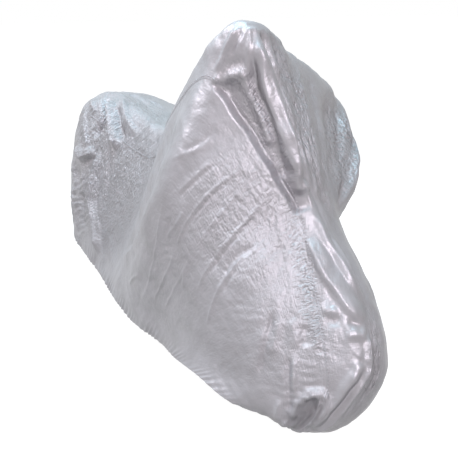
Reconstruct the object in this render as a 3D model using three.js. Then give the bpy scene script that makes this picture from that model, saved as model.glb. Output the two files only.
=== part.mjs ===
// Motorcycle storage cover, in the shape it takes over a parked motorcycle.
// Millimetres. +X is the motorcycle's forward, +Y its left, +Z up. The origin is
// on the underside of the cover, where it rests on the saddle.
// The motorcycle leans to its left on a side stand, with its front wheel turned left.
import * as THREE from 'three';

const { degToRad, clamp } = THREE.MathUtils;

// The sheet
const CLOTH_THICKNESS = 1.6;
const HEM_THICKNESS = 2.6;
const SEAM_HALF_GAP = 0.5;

// How the motorcycle under the cover stands
const LEAN = degToRad(15);
const STEER = degToRad(28);
const RAKE = degToRad(26);
const FRONT_AXLE = { x: 1370, z: 288 };
const STEERING_AXIS_BEHIND_AXLE = 40;

// Cells of the faceted sheet between one line along the cover and the next, from the right
// hem to the left hem. The seams lie after the second entry and before the last two.
const LINE_CELLS = [6, 6, 6, 4, 3, 3, 4, 5, 4, 4];

// Sections of the cover from its front hem to its rear hem, as it would lie over the
// motorcycle upright and steered straight, above the rear wheel's contact point.
// crown: [x, z] on the middle line. ridge, seam, flank, hem: [x, half width, z] on each side.
// steer: share of the steering angle that the top turns by. hemSteer: the hem's share.
// cells: the number of cells from this section to the next.
const SECTIONS = [
  { name: 'front hem', cells: 2, steer: 1, hemSteer: 1, crown: [1492, 50],
    ridge: [1472, 75, 52], seam: [1448, 100, 58], flank: [1420, 112, 64], hem: [1388, 116, 68] },
  { name: 'toe', cells: 3, steer: 1, hemSteer: 1, crown: [1615, 120],
    ridge: [1590, 95, 115], seam: [1535, 125, 96], flank: [1450, 138, 74], hem: [1325, 130, 54] },
  { name: 'wheel front', cells: 3, steer: 1, hemSteer: 1, crown: [1680, 292],
    ridge: [1648, 115, 288], seam: [1570, 150, 238], flank: [1428, 170, 152], hem: [1235, 154, 52] },
  { name: 'wheel top', cells: 3, steer: 1, hemSteer: 0.8, crown: [1642, 440],
    ridge: [1602, 125, 434], seam: [1508, 166, 370], flank: [1345, 190, 236], hem: [1095, 152, 80] },
  { name: 'mudguard', cells: 3, steer: 1, hemSteer: 0.4, crown: [1520, 588],
    ridge: [1478, 120, 588], seam: [1405, 162, 515], flank: [1235, 222, 335], hem: [950, 180, 101] },
  { name: 'neck', cells: 4, steer: 1, hemSteer: 0.1, crown: [1320, 765],
    ridge: [1285, 93, 776], seam: [1238, 158, 748], flank: [1100, 256, 430], hem: [830, 207, 106] },
  { name: 'lamp', cells: 4, steer: 1, hemSteer: 0, crown: [1200, 930],
    ridge: [1165, 200, 930], seam: [1120, 225, 860], flank: [990, 290, 520], hem: [705, 228, 104] },
  { name: 'screen', cells: 4, steer: 1, hemSteer: 0, crown: [1060, 1125],
    ridge: [1030, 300, 1115], seam: [980, 280, 970], flank: [900, 322, 600], hem: [590, 246, 102] },
  { name: 'mirrors', cells: 3, steer: 1, hemSteer: 0, crown: [900, 1300],
    ridge: [888, 388, 1272], seam: [831, 348, 1058], flank: [790, 345, 640], hem: [470, 250, 104] },
  { name: 'behind bars', cells: 3, steer: 0.9, hemSteer: 0, crown: [785, 1222],
    ridge: [762, 332, 1188], seam: [732, 315, 1030], flank: [680, 300, 600], hem: [380, 248, 110] },
  { name: 'tank', cells: 3, steer: 0.5, hemSteer: 0, crown: [640, 1020],
    ridge: [620, 225, 1005], seam: [590, 245, 900], flank: [545, 262, 520], hem: [260, 246, 120] },
  { name: 'saddle front', cells: 3, steer: 0.1, hemSteer: 0, crown: [440, 925],
    ridge: [430, 170, 905], seam: [400, 205, 760], flank: [360, 240, 460], hem: [150, 240, 132] },
  { name: 'saddle', cells: 2, steer: 0, hemSteer: 0, crown: [200, 915],
    ridge: [200, 178, 885], seam: [180, 222, 740], flank: [150, 238, 440], hem: [20, 235, 148] },
  { name: 'tail front', cells: 2, steer: 0, hemSteer: 0, crown: [-90, 957],
    ridge: [-90, 215, 925], seam: [-105, 258, 785], flank: [-110, 262, 450], hem: [-150, 238, 168] },
  { name: 'tail top', cells: 2, steer: 0, hemSteer: 0, crown: [-320, 992],
    ridge: [-325, 226, 950], seam: [-320, 300, 820], flank: [-310, 290, 470], hem: [-300, 238, 185] },
  { name: 'tail end', cells: 2, steer: 0, hemSteer: 0, crown: [-500, 965],
    ridge: [-500, 212, 925], seam: [-490, 294, 806], flank: [-470, 280, 460], hem: [-430, 228, 195] },
  { name: 'back', cells: 2, steer: 0, hemSteer: 0, crown: [-585, 820],
    ridge: [-585, 200, 805], seam: [-565, 258, 670], flank: [-540, 255, 430], hem: [-500, 195, 195] },
  { name: 'back low', cells: 1, steer: 0, hemSteer: 0, crown: [-600, 480],
    ridge: [-590, 160, 480], seam: [-575, 195, 430], flank: [-560, 195, 320], hem: [-530, 165, 195] },
  { name: 'rear hem', cells: 0, steer: 0, hemSteer: 0, crown: [-570, 195],
    ridge: [-565, 95, 195], seam: [-560, 115, 195], flank: [-553, 135, 195], hem: [-545, 150, 195] },
];
const LAST_SECTION = SECTIONS.length - 1;

// Lines along the cover, counted across it: 0 is the crown, 1 lies half way to the ridge line 2,
// then 3 the seam, 4 the flank and 5 the hem. The right-hand side counts down from 0 to -5.
const SEAM_LINE = 3;
const HEM_LINE = 5;
const LINES = 2 * HEM_LINE + 1;

// Places where loose cloth stands out from the sections: middle and reach as [along, across],
// along in sections and across in lines, and the push at the middle as [x, y, z].
const SWELLS = [
  { name: 'slack over the left grip', at: [6.9, 3.2], reach: [2.1, 1.6], push: [95, 140, 35] },
  { name: 'top of the screen', at: [7.9, 1.1], reach: [0.9, 1.0], push: [10, 12, 26] },
  { name: 'beside the right mirror', at: [8.0, -1.4], reach: [0.8, 0.9], push: [8, 0, 18] },
  { name: 'slack over the left knee', at: [10.5, 3.8], reach: [2.0, 1.3], push: [0, 28, 0] },
];

// Main folds, as [along, across] at each end. Height is outwards for a ridge, negative for
// a trough; reach is the distance from its line at which a fold has faded.
const FOLDS = [
  { name: 'trough from the right grip', from: [7.8, -3.12], to: [5.15, -3.08], reach: 62, height: -15 },
  { name: 'ridge beside it', from: [7.7, -2.75], to: [5.0, -2.8], reach: 62, height: 13 },
  { name: 'pit before the right grip', from: [7.6, -2.4], to: [6.2, -2.6], reach: 70, height: -22 },
  { name: 'ridge from the right mirror', from: [7.9, -1.9], to: [5.3, -2.5], reach: 62, height: 14 },
  { name: 'trough beside it', from: [7.7, -1.5], to: [5.5, -2.1], reach: 70, height: -16 },
  { name: 'middle ridge of the front', from: [7.6, -0.4], to: [5.3, -1.0], reach: 80, height: 10 },
  { name: 'trough from the left mirror', from: [7.6, 1.2], to: [5.4, 0.6], reach: 80, height: -16 },
  { name: 'ridge from the left mirror', from: [7.8, 2.1], to: [5.4, 1.6], reach: 70, height: 12 },
  { name: 'ridge over the mudguard', from: [4.9, -2.5], to: [3.2, -1.9], reach: 60, height: 9 },
  { name: 'trough over the mudguard', from: [4.5, -2.8], to: [3.3, -2.2], reach: 60, height: -10 },
  { name: 'tread edge of the wheel', from: [3.1, -1.9], to: [1.2, -2.0], reach: 55, height: 8 },
  { name: 'trough behind the right grip', from: [9.3, -3.0], to: [9.7, -4.8], reach: 95, height: -24 },
  { name: 'trough behind the left grip', from: [9.3, 3.0], to: [9.7, 4.8], reach: 95, height: -24 },
  { name: 'pleat over the saddle', from: [9.6, -1.2], to: [12.6, -1.6], reach: 80, height: -14 },
  { name: 'pleat left of the saddle', from: [9.6, 1.3], to: [12.6, 1.5], reach: 80, height: -12 },
  { name: 'notch in the tail', from: [13.7, -2.0], to: [13.8, -3.4], reach: 60, height: -17 },
  { name: 'right corner of the tail', from: [13.5, -3.4], to: [13.3, -4.8], reach: 70, height: 12 },
  { name: 'right hollow of the tail', from: [14.3, -3.5], to: [14.2, -4.7], reach: 80, height: -11 },
  { name: 'storage crease by the knee', from: [7.5, -3.5], to: [6.9, -4.8], reach: 60, height: -6 },
  { name: 'storage crease by the boot', from: [6.3, -3.5], to: [5.9, -4.8], reach: 60, height: 6 },
  { name: 'pillow beside the neck', from: [5.0, -3.9], to: [4.5, -3.4], reach: 130, height: 9 },
  { name: 'gathered dart', from: [4.1, -3.6], to: [2.4, -4.0], reach: 60, height: -8 },
  { name: 'curl over the front hem', from: [2.1, -3.5], to: [2.0, -2.8], reach: 60, height: 9 },
  { name: 'left storage crease', from: [7.3, 3.6], to: [6.3, 4.8], reach: 70, height: -8 },
  { name: 'back pleat right', from: [15.2, -1.6], to: [17.4, -1.3], reach: 90, height: 11 },
  { name: 'back pleat middle', from: [15.2, 0.2], to: [17.4, 0.1], reach: 90, height: -12 },
  { name: 'back pleat left', from: [15.2, 1.9], to: [17.4, 1.4], reach: 90, height: 11 },
];
const FOLD_STEPS = 10;
const FOLD_ALONG_LIMIT = 3;
const FOLD_ACROSS_LIMIT = 1.6;

const CLOTH_COLOUR = 0xb4b2b6;
const CLOTH_ROUGHNESS = 0.42;
const CLOTH_METALNESS = 0.25;

// Turns a point of the upright motorcycle about its steering axis by a share of the steering angle.
function steered(point, share) {
  const axis = new THREE.Vector3(-Math.sin(RAKE), 0, Math.cos(RAKE));
  const pivot = new THREE.Vector3(
    FRONT_AXLE.x - STEERING_AXIS_BEHIND_AXLE * Math.cos(RAKE),
    0,
    FRONT_AXLE.z - STEERING_AXIS_BEHIND_AXLE * Math.sin(RAKE),
  );
  return point.clone().sub(pivot).applyAxisAngle(axis, STEER * share).add(pivot);
}

// Leans a point to the motorcycle's left. The hem hangs free of the lean, so it keeps its height.
function leaned(point, share) {
  const sideways = point.y * Math.cos(LEAN) + point.z * Math.sin(LEAN);
  const height = point.z * Math.cos(LEAN * share) - point.y * Math.sin(LEAN) * share;
  return new THREE.Vector3(point.x, sideways, height);
}

// The control points of one section, from the right hem over the crown to the left hem.
function sectionPoints({ steer, hemSteer, crown, ridge, seam, flank, hem }) {
  const shoulder = [(2 * crown[0] + ridge[0]) / 3, ridge[1] / 2, (2 * crown[1] + ridge[2]) / 3];
  const flankSteer = 0.6 * steer + 0.4 * hemSteer;
  const flankLean = 0.6 + 0.4 * hemSteer;
  const half = [
    { at: [crown[0], 0, crown[1]], steer, lean: 1 },
    { at: shoulder, steer, lean: 1 },
    { at: ridge, steer, lean: 1 },
    { at: seam, steer, lean: 1 },
    { at: flank, steer: flankSteer, lean: flankLean },
    { at: hem, steer: hemSteer, lean: hemSteer },
  ];
  const points = new Array(LINES);
  for (const side of [-1, 1]) {
    half.forEach((line, index) => {
      const [x, halfWidth, z] = line.at;
      const turned = steered(new THREE.Vector3(x, side * halfWidth, z), line.steer);
      points[HEM_LINE + side * index] = leaned(turned, line.lean);
    });
  }
  return points;
}

// A smooth curve through evenly counted points, with straight run-outs at its ends.
function through(points, count) {
  const last = points.length - 1;
  const index = clamp(Math.floor(count), 0, last - 1);
  const share = count - index;
  const p1 = points[index];
  const p2 = points[index + 1];
  const p0 = index > 0 ? points[index - 1] : p1.clone().multiplyScalar(2).sub(p2);
  const p3 = index < last - 1 ? points[index + 2] : p2.clone().multiplyScalar(2).sub(p1);
  const square = share * share;
  const cube = square * share;
  return new THREE.Vector3()
    .addScaledVector(p0, -0.5 * cube + square - 0.5 * share)
    .addScaledVector(p1, 1.5 * cube - 2.5 * square + 1)
    .addScaledVector(p2, -1.5 * cube + 2 * square + 0.5 * share)
    .addScaledVector(p3, 0.5 * cube - 0.5 * square);
}

const cage = SECTIONS.map(sectionPoints);

// The unfolded surface at a place given in sections along and lines across.
function baseAt(along, across) {
  const line = [];
  for (let column = 0; column < LINES; column += 1) {
    line.push(through(cage.map((row) => row[column]), along));
  }
  const point = through(line, across + HEM_LINE);
  for (const { at, reach, push } of SWELLS) {
    const alongShare = (along - at[0]) / reach[0];
    const acrossShare = (across - at[1]) / reach[1];
    const left = 1 - alongShare * alongShare - acrossShare * acrossShare;
    if (left > 0) point.addScaledVector(new THREE.Vector3(...push), left ** 1.5);
  }
  return point;
}

// The outward direction of a surface given as a function of along and across.
function outwardAt(surface, along, across) {
  const step = 0.02;
  const a0 = Math.max(along - step, 0);
  const a1 = Math.min(along + step, LAST_SECTION);
  const c0 = Math.max(across - step, -HEM_LINE);
  const c1 = Math.min(across + step, HEM_LINE);
  const lengthways = surface(a1, across).sub(surface(a0, across));
  const crossways = surface(along, c1).sub(surface(along, c0));
  return crossways.cross(lengthways).normalize();
}

// Each fold's line on the unfolded surface.
const foldLines = FOLDS.map(({ from, to }) => {
  const line = [];
  for (let step = 0; step <= FOLD_STEPS; step += 1) {
    const share = step / FOLD_STEPS;
    const along = from[0] + (to[0] - from[0]) * share;
    const across = from[1] + (to[1] - from[1]) * share;
    line.push({ share, point: baseAt(along, across) });
  }
  return line;
});

// How far the folds lift the surface at a place: a rounded profile that fades at both ends.
function foldHeight(point, along, across) {
  let lift = 0;
  FOLDS.forEach(({ from, to, reach, height }, index) => {
    const low = Math.min(from[0], to[0]) - FOLD_ALONG_LIMIT;
    const high = Math.max(from[0], to[0]) + FOLD_ALONG_LIMIT;
    const middle = (from[1] + to[1]) / 2;
    const halfSpan = Math.abs(from[1] - to[1]) / 2;
    if (along < low || along > high) return;
    if (Math.abs(across - middle) > halfSpan + FOLD_ACROSS_LIMIT) return;
    let nearest = { distance: Infinity, share: 0 };
    for (const { share, point: onLine } of foldLines[index]) {
      const distance = point.distanceTo(onLine);
      if (distance < nearest.distance) nearest = { distance, share };
    }
    const away = clamp(1 - (nearest.distance / reach) ** 2, 0, 1);
    const fade = Math.sin(Math.PI * clamp(0.15 + 0.7 * nearest.share, 0, 1)) ** 0.5;
    lift += height * away * away * fade;
  });
  return lift;
}

// The cover's outer face.
function clothAt(along, across) {
  const point = baseAt(along, across);
  const lift = foldHeight(point, along, across);
  return lift === 0 ? point : point.addScaledVector(outwardAt(baseAt, along, across), lift);
}

// Grid positions from a start, one unit for each entry of a list of cells per unit.
function gridPositions(start, cellsPerUnit) {
  const positions = [start];
  cellsPerUnit.forEach((cells, unit) => {
    for (let cell = 1; cell <= cells; cell += 1) positions.push(start + unit + cell / cells);
  });
  return positions;
}

// One cut panel of the cover as a closed sheet between two lines, clear of its neighbours.
function panel(name, startLine, endLine, material) {
  const alongs = gridPositions(0, SECTIONS.slice(0, LAST_SECTION).map(({ cells }) => cells));
  const lineCells = LINE_CELLS.slice(startLine + HEM_LINE, endLine + HEM_LINE);
  const acrosses = gridPositions(startLine, lineCells);
  const lastColumn = acrosses.length - 1;
  const lastRow = alongs.length - 1;
  const positions = [];
  for (const layer of ['outer', 'inner']) {
    alongs.forEach((along, row) => {
      acrosses.forEach((across, column) => {
        const point = clothAt(along, across);
        const outward = outwardAt(clothAt, along, across);
        const hemmed = row === 0 || row === lastRow || Math.abs(across) === HEM_LINE;
        if (Math.abs(across) === SEAM_LINE) {
          const inside = clothAt(along, column === 0 ? acrosses[1] : acrosses[lastColumn - 1]);
          point.addScaledVector(inside.sub(point).normalize(), SEAM_HALF_GAP);
        }
        if (layer === 'inner') {
          point.addScaledVector(outward, hemmed ? -HEM_THICKNESS : -CLOTH_THICKNESS);
        }
        point.sub(origin);
        positions.push(point.x, point.y, point.z);
      });
    });
  }
  const geometry = new THREE.BufferGeometry();
  geometry.setAttribute('position', new THREE.Float32BufferAttribute(positions, 3));
  geometry.setIndex(sheetFaces(lastRow, lastColumn));
  geometry.computeVertexNormals();
  const mesh = new THREE.Mesh(geometry, material);
  mesh.name = name;
  return mesh;
}

// The faces of a sheet whose outer grid of points comes before its inner one.
function sheetFaces(lastRow, lastColumn) {
  const columns = lastColumn + 1;
  const innerStart = (lastRow + 1) * columns;
  const faces = [];
  const quad = (a, b, c, d) => faces.push(a, b, c, a, c, d);
  for (let row = 0; row < lastRow; row += 1) {
    for (let column = 0; column < lastColumn; column += 1) {
      const corner = row * columns + column;
      const inner = innerStart + corner;
      quad(corner, corner + 1, corner + columns + 1, corner + columns);
      quad(inner, inner + columns, inner + columns + 1, inner + 1);
    }
  }
  const rim = [];
  for (let column = 0; column < lastColumn; column += 1) rim.push(column);
  for (let row = 0; row < lastRow; row += 1) rim.push(row * columns + lastColumn);
  for (let column = lastColumn; column > 0; column -= 1) rim.push(lastRow * columns + column);
  for (let row = lastRow; row > 0; row -= 1) rim.push(row * columns);
  rim.forEach((point, index) => {
    const next = rim[(index + 1) % rim.length];
    quad(point, point + innerStart, next + innerStart, next);
  });
  return faces;
}

// The origin lies on the underside of the crown, over the saddle.
const SADDLE_SECTION = 12;
const origin = clothAt(SADDLE_SECTION, 0)
  .addScaledVector(outwardAt(clothAt, SADDLE_SECTION, 0), -CLOTH_THICKNESS);

const cloth = new THREE.MeshStandardMaterial({
  name: 'silver_cloth',
  color: CLOTH_COLOUR,
  roughness: CLOTH_ROUGHNESS,
  metalness: CLOTH_METALNESS,
});

const cover = new THREE.Group();
cover.add(panel('side_panel_right', -HEM_LINE, -SEAM_LINE, cloth));
cover.add(panel('centre_panel', -SEAM_LINE, SEAM_LINE, cloth));
cover.add(panel('side_panel_left', SEAM_LINE, HEM_LINE, cloth));

export default cover;
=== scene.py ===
"""Storage cover of silver-coated cloth, draped over a parked motorcycle, with its seams and stage."""

import math
from typing import NamedTuple

import bpy
import numpy as np
from bpy.props import FloatProperty, FloatVectorProperty, IntProperty, PointerProperty
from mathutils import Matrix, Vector


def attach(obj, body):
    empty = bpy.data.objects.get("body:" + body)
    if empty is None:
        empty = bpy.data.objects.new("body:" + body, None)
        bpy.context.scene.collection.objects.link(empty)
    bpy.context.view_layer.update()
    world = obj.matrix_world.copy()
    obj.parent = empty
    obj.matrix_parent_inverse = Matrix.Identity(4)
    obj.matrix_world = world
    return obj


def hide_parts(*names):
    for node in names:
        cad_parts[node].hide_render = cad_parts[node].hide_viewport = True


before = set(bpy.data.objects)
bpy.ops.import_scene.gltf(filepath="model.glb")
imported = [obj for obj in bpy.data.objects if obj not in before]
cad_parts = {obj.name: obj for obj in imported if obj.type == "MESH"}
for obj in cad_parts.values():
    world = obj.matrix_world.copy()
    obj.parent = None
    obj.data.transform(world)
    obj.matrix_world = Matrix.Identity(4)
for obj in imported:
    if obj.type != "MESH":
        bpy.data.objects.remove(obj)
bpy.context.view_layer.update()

bl_info = {
    "name": "Motorcycle cover",
    "version": (1, 0, 0),
    "blender": (4, 5, 0),
    "location": "View3D > Sidebar > Cover",
    "description": "Draped cloth cover with folds, crinkles, seams, hem and stage",
    "category": "Object",
}

MM = 0.001
CLOTH_MATERIAL = "silver_coated_cloth"

# How the motorcycle under the cover stands. Its parts are given upright and steered straight,
# in millimetres above the rear wheel's contact point, with +X forward and +Y left.
LEAN = math.radians(15)
STEER = math.radians(28)
RAKE = math.radians(26)
FRONT_AXLE = (1370, 288)
STEERING_AXIS_BEHIND_AXLE = 40
SADDLE_POINT = (199.9, 236.4, 882.3)  # the frame's origin, seen from the contact point

# The floor, in metres in the frame
FLOOR_HEIGHT = -0.8823
FLOOR_HALF_WIDTH = 30

# Lines along the cover, counted across it: 0 is the crown, 1 the shoulder, 2 the ridge over the
# mirrors, 3 the seam, 4 the flank and 5 the hem. The right-hand side counts down to -5.
SEAM_LINE = 3
HEM_LINE = 5
LAP_WIDTH = 0.09  # how far a side panel runs under the centre panel, counted across
EDGE_CELL = 0.002  # the width of the cells along the edges of a panel, counted across
STITCH_INSET = 0.035  # how far in from the centre panel's edge the stitches run, counted across
EDGE_PRESS = 0.25  # the share of its thickness by which the centre panel's edge is pressed in
CENTRE_CELLS = 1.07  # the centre panel's mesh cells, as a share of the right-hand panel's
LEFT_CELLS = 1.2  # the same for the left-hand panel
STEPS_PER_SECTION = 9  # the points along a line by which the cloth between two sections is measured

# The small forms, with their lengths in metres
GATHER_SPACING = 0.034  # from one gather of the hem to the next
GATHER_REACH = 0.055  # how far the gathers run in from the hem
WANDER_LENGTH = 0.045  # the length by which a fold's height and crest vary
FAINT = 0.15  # the strength of the finest creases outside the patches
CRUMPLE_HEADINGS = 9  # how many directions the crumpling's creases have
PATCHY_SIZE = 0.09  # from one stronger place of the small creases to the next
NEARBY = 0.05  # a short way along or across, counted in sections or lines, to measure the cloth by

# Whole numbers that turn the noise's cells and its seed into even chances
HASH_PRIMES = (73856093, 19349663, 83492791)
HASH_SEED_STEP = 7919
HASH_START = 17
HASH_MIX = 1274126177
HASH_LIMIT = 0xFFFFFFFF

# The numbers of the sockets of a Mix node that take colours, and of the one that gives a colour
MIX_COLOUR_INPUTS = (6, 7)
MIX_COLOUR_OUTPUT = 2


class Section(NamedTuple):
    """One section across the cover. steer is the share of the steering angle that it turns by."""

    steer: float
    hem_steer: float
    crown: tuple
    ridge: tuple
    seam: tuple
    flank: tuple
    hem: tuple


# From the front hem to the rear hem. crown is (x, z), the others (x, half width, z).
SECTIONS = (
    Section(1, 1, (1492, 50), (1472, 75, 52), (1448, 100, 58), (1420, 112, 64), (1388, 116, 68)),
    Section(1, 1, (1615, 120), (1590, 95, 115), (1535, 125, 96), (1450, 138, 74), (1325, 130, 54)),
    Section(1, 1, (1680, 292), (1648, 115, 288), (1570, 150, 238), (1428, 170, 152), (1235, 154, 52)),
    Section(1, 0.8, (1642, 440), (1602, 125, 434), (1508, 166, 370), (1345, 190, 236), (1095, 152, 80)),
    Section(1, 0.4, (1520, 588), (1478, 120, 588), (1405, 162, 515), (1235, 222, 335), (950, 180, 101)),
    Section(1, 0.1, (1320, 765), (1285, 93, 776), (1238, 158, 748), (1100, 256, 430), (830, 207, 106)),
    Section(1, 0, (1200, 930), (1165, 200, 930), (1120, 225, 860), (990, 290, 520), (705, 228, 104)),
    Section(1, 0, (1060, 1125), (1030, 300, 1115), (980, 280, 970), (900, 322, 600), (590, 246, 102)),
    Section(1, 0, (900, 1300), (888, 388, 1272), (831, 348, 1058), (790, 345, 640), (470, 250, 104)),
    Section(0.9, 0, (785, 1222), (762, 332, 1188), (732, 315, 1030), (680, 300, 600), (380, 248, 110)),
    Section(0.5, 0, (640, 1020), (620, 225, 1005), (590, 245, 900), (545, 262, 520), (260, 246, 120)),
    Section(0.1, 0, (440, 925), (430, 170, 905), (400, 205, 760), (360, 240, 460), (150, 240, 132)),
    Section(0, 0, (200, 915), (200, 178, 885), (180, 222, 740), (150, 238, 440), (20, 235, 148)),
    Section(0, 0, (-90, 957), (-90, 215, 925), (-105, 258, 785), (-110, 262, 450), (-150, 238, 168)),
    Section(0, 0, (-320, 992), (-325, 226, 950), (-320, 300, 820), (-310, 290, 470), (-300, 238, 185)),
    Section(0, 0, (-500, 965), (-500, 212, 925), (-490, 294, 806), (-470, 280, 460), (-430, 228, 195)),
    Section(0, 0, (-585, 820), (-585, 200, 805), (-565, 258, 670), (-540, 255, 430), (-500, 195, 195)),
    Section(0, 0, (-600, 480), (-590, 160, 480), (-575, 195, 430), (-560, 195, 320), (-530, 165, 195)),
    Section(0, 0, (-570, 195), (-565, 95, 195), (-560, 115, 195), (-553, 135, 195), (-545, 150, 195)),
)
LAST_SECTION = len(SECTIONS) - 1


class Swell(NamedTuple):
    """Loose cloth over an oval, at and spread being (along, across), and push (x, y, z) in millimetres."""

    at: tuple
    spread: tuple
    push: tuple


SWELLS = (
    Swell((6.9, 3.2), (2.1, 1.6), (95, 140, 35)),
    Swell((7.9, 1.1), (0.9, 1.0), (8, 10, 16)),
    Swell((7.9, -1.15), (0.55, 0.7), (10, 14, 14)),
    Swell((8.05, -2.0), (0.4, 0.35), (0, 0, -10)),
    Swell((10.5, 3.8), (2.0, 1.3), (0, 28, 0)),
)


class Fold(NamedTuple):
    """A ridge, or a trough where its height is negative, along a path of (along, across) points.

    reach and height are in millimetres. crisp is 0 for a rounded fold and 1 for a sharp crease.
    lean widens the side on the left of the path, seen from outside, and narrows the other.
    fade is the share of its length over which each end dies out.
    """

    path: tuple
    reach: float
    height: float
    crisp: float = 0.3
    lean: float = 0.0
    fade: float = 0.25


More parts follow.
